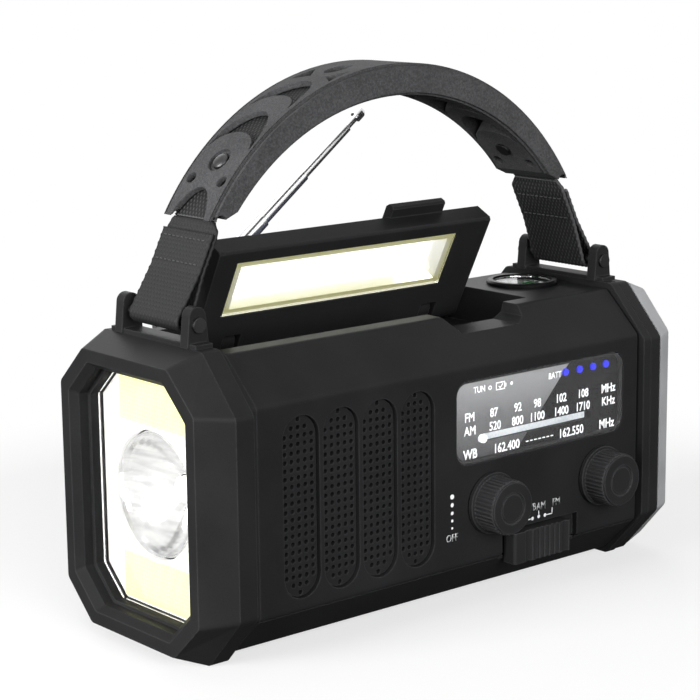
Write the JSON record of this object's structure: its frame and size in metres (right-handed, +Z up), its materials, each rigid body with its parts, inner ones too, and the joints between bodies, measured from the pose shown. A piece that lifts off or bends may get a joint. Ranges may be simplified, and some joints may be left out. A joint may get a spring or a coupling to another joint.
{
  "type": "emergency radio",
  "caption": "Octagonal portable emergency radio with flashlight head, hinged lamp lid with solar panel, strap handle, telescopic aerial and rear hand crank.",
  "frame": {"origin": "centre of the footprint, on the ground under the body", "axes": "+X along the body from the flashlight to the end cap, -Y out of the dial face, +Z up"},
  "size_m": [0.2, 0.099, 0.1743],
  "materials": {
    "case_plastic": "fine satin moulded texture",
    "head_plastic": "fine satin moulded texture",
    "cap_plastic": "satin",
    "gloss_black": "gloss",
    "control_plastic": "satin",
    "clear_window": "clear moulded plastic",
    "light_plastic": "gloss",
    "bright_metal": "polished",
    "steel": "brushed",
    "mirror_bowl": "vacuum metallised",
    "lamp_yellow": "lit lamp",
    "blue_led": "lit lamp",
    "grip_rubber": "fine grained rubber",
    "webbing": "coarse plain weave",
    "soft_rubber": "matte",
    "gear_plastic": "natural",
    "brass_pinion": "machined",
    "board": "lacquered",
    "cell_wrap": "shrink wrap",
    "solar_cell": "laminated cells",
    "signal_plastic": "gloss",
    "speaker_paper": "matte paper"
  },
  "bodies": {
    "housing": {"main_case": "case_plastic", "base_case": "case_plastic", "head_shell": "head_plastic", "bumper_right": "head_plastic", "end_cap": "cap_plastic", "head_lens": "clear_window", "reflector_plate": "light_plastic", "main_reflector": "mirror_bowl", "main_led": "lamp_yellow", "cob_panels": "lamp_yellow", "speaker_grille": "case_plastic", "speaker_frame": "steel", "speaker_cone": "speaker_paper", "dial_window": "clear_window", "dial_scale": "gloss_black", "battery_leds": "blue_led", "volume_pot": "steel", "tuning_capacitor": "gear_plastic", "compass_bowl": "gloss_black", "compass_glass": "clear_window", "strap_brackets": "control_plastic", "strap_pins": "steel", "generator": "steel", "gear_plate": "steel", "circuit_board": "board", "battery_cells": "cell_wrap", "battery_tray": "control_plastic", "port_sockets": "steel", "case_screws": "steel"},
    "volume_knob": {"volume_knob": "control_plastic"},
    "tuning_knob": {"tuning_knob": "control_plastic"},
    "dial_pointer": {"dial_pointer": "light_plastic"},
    "band_slider": {"band_slider": "control_plastic"},
    "compass_card": {"compass_card": "light_plastic"},
    "lid": {"lid_shell": "case_plastic", "solar_panel": "solar_cell", "lamp_reflector": "mirror_bowl", "lamp_panel": "lamp_yellow", "lamp_cover": "clear_window", "lid_pin": "steel"},
    "strap_left": {"strap_left": "webbing"},
    "strap_right": {"strap_right": "webbing"},
    "grip": {"handle_grip": "grip_rubber", "strap_core": "webbing", "grip_rivets": "steel"},
    "aerial_base": {"antenna_knuckle": "bright_metal"},
    "aerial_tube_1": {"antenna_tube_1": "bright_metal"},
    "aerial_tube_2": {"antenna_tube_2": "bright_metal"},
    "aerial_tube_3": {"antenna_tube_3": "bright_metal"},
    "aerial_rod": {"antenna_rod": "bright_metal"},
    "crank": {"crank_shaft": "steel", "crank_arm": "control_plastic", "drive_gear": "gear_plastic"},
    "knob_yoke": {"knob_yoke": "steel"},
    "crank_knob": {"crank_knob": "soft_rubber"},
    "idler": {"idler_gear": "gear_plastic"},
    "generator_rotor": {"generator_pinion": "brass_pinion"},
    "torch_button": {"torch_button": "signal_plastic"},
    "lamp_button": {"lamp_button": "soft_rubber"},
    "port_cover": {"port_cover": "soft_rubber"}
  },
  "joints": [
    {"name": "volume_turn", "type": "hinge", "parent": "housing", "child": "volume_knob", "pos_m": [0.0136, -0.045, 0.0344], "axis": [0, 1, 0], "range_deg": [0, 280]},
    {"name": "tuning_turn", "type": "hinge", "parent": "housing", "child": "tuning_knob", "pos_m": [0.0642, -0.045, 0.0344], "axis": [0, 1, 0], "range_deg": [0, 330]},
    {"name": "pointer_slide", "type": "slide", "parent": "housing", "child": "dial_pointer", "axis": [1, 0, 0], "range_m": [0, 0.0485]},
    {"name": "band_slide", "type": "slide", "parent": "housing", "child": "band_slider", "axis": [1, 0, 0], "range_m": [0, 0.0058]},
    {"name": "compass_turn", "type": "hinge", "parent": "housing", "child": "compass_card", "pos_m": [0.0695, 0.0036, 0.0928], "axis": [0, 0, 1], "continuous": true},
    {"name": "lid_hinge", "type": "hinge", "parent": "housing", "child": "lid", "pos_m": [0, 0.021, 0.088], "axis": [-1, 0, 0], "range_deg": [-63, 22]},
    {"name": "strap_left_swing", "type": "hinge", "parent": "housing", "child": "strap_left", "pos_m": [-0.086, 0, 0.1027], "axis": [0, 1, 0], "range_deg": [-7, 7]},
    {"name": "grip_sway", "type": "hinge", "parent": "strap_left", "child": "grip", "pos_m": [-0.07247, 0, 0.13071], "axis": [0, 1, 0], "range_deg": [-8.4, 8.4]},
    {"name": "strap_right_swing", "type": "hinge", "parent": "housing", "child": "strap_right", "pos_m": [0.086, 0, 0.1027], "axis": [0, 1, 0], "range_deg": [-7.1, 7.1]},
    {"name": "aerial_swivel", "type": "hinge", "parent": "housing", "child": "aerial_base", "pos_m": [-0.062, 0.032, 0.092], "axis": [0, 0, 1], "range_deg": [0, 150]},
    {"name": "aerial_tilt", "type": "hinge", "parent": "aerial_base", "child": "aerial_tube_1", "pos_m": [-0.062, 0.032, 0.092], "axis": [0, -1, 0], "range_deg": [-37, 53]},
    {"name": "aerial_slide_1", "type": "slide", "parent": "aerial_tube_1", "child": "aerial_tube_2", "axis": [0.7944, 0, 0.6074], "range_m": [-0.02, 0.02]},
    {"name": "aerial_slide_2", "type": "slide", "parent": "aerial_tube_2", "child": "aerial_tube_3", "axis": [0.7944, 0, 0.6074], "range_m": [-0.022, 0.018]},
    {"name": "aerial_slide_3", "type": "slide", "parent": "aerial_tube_3", "child": "aerial_rod", "axis": [0.7944, 0, 0.6074], "range_m": [-0.0045, 0.036]},
    {"name": "crank_spin", "type": "hinge", "parent": "housing", "child": "crank", "pos_m": [0.018, 0.04, 0.048], "axis": [0, 1, 0], "continuous": true},
    {"name": "knob_fold", "type": "hinge", "parent": "crank", "child": "knob_yoke", "pos_m": [0.0545, 0.045, 0.048], "axis": [0, 0, -1], "range_deg": [0, 90]},
    {"name": "knob_spin", "type": "hinge", "parent": "knob_yoke", "child": "crank_knob", "pos_m": [0.04, 0.045, 0.048], "axis": [1, 0, 0], "continuous": true},
    {"name": "idler_spin", "type": "hinge", "parent": "housing", "child": "idler", "pos_m": [0.0404, 0.026, 0.048], "axis": [0, 1, 0], "continuous": true},
    {"name": "generator_spin", "type": "hinge", "parent": "housing", "child": "generator_rotor", "pos_m": [0.0596, 0.02, 0.048], "axis": [0, 1, 0], "continuous": true},
    {"name": "torch_press", "type": "slide", "parent": "housing", "child": "torch_button", "axis": [0, -1, 0], "range_m": [0, 0.0012], "stiffness_N_per_m": 400, "springref_m": -0.0015},
    {"name": "lamp_press", "type": "slide", "parent": "housing", "child": "lamp_button", "axis": [0, -1, 0], "range_m": [0, 0.0012], "stiffness_N_per_m": 400, "springref_m": -0.0015},
    {"name": "port_hinge", "type": "hinge", "parent": "housing", "child": "port_cover", "pos_m": [-0.059, 0.0388, 0.0236], "axis": [-1, 0, 0], "range_deg": [0, 120]}
  ],
  "couplings": [
    {"joint": "pointer_slide", "follows": "tuning_turn", "m_per_rad": 0.0083},
    {"joint": "grip_sway", "follows": "strap_left_swing", "ratio": -1.1866},
    {"joint": "strap_right_swing", "follows": "strap_left_swing", "ratio": 1},
    {"joint": "idler_spin", "follows": "crank_spin", "ratio": -3.6667},
    {"joint": "generator_spin", "follows": "crank_spin", "ratio": 11}
  ]
}
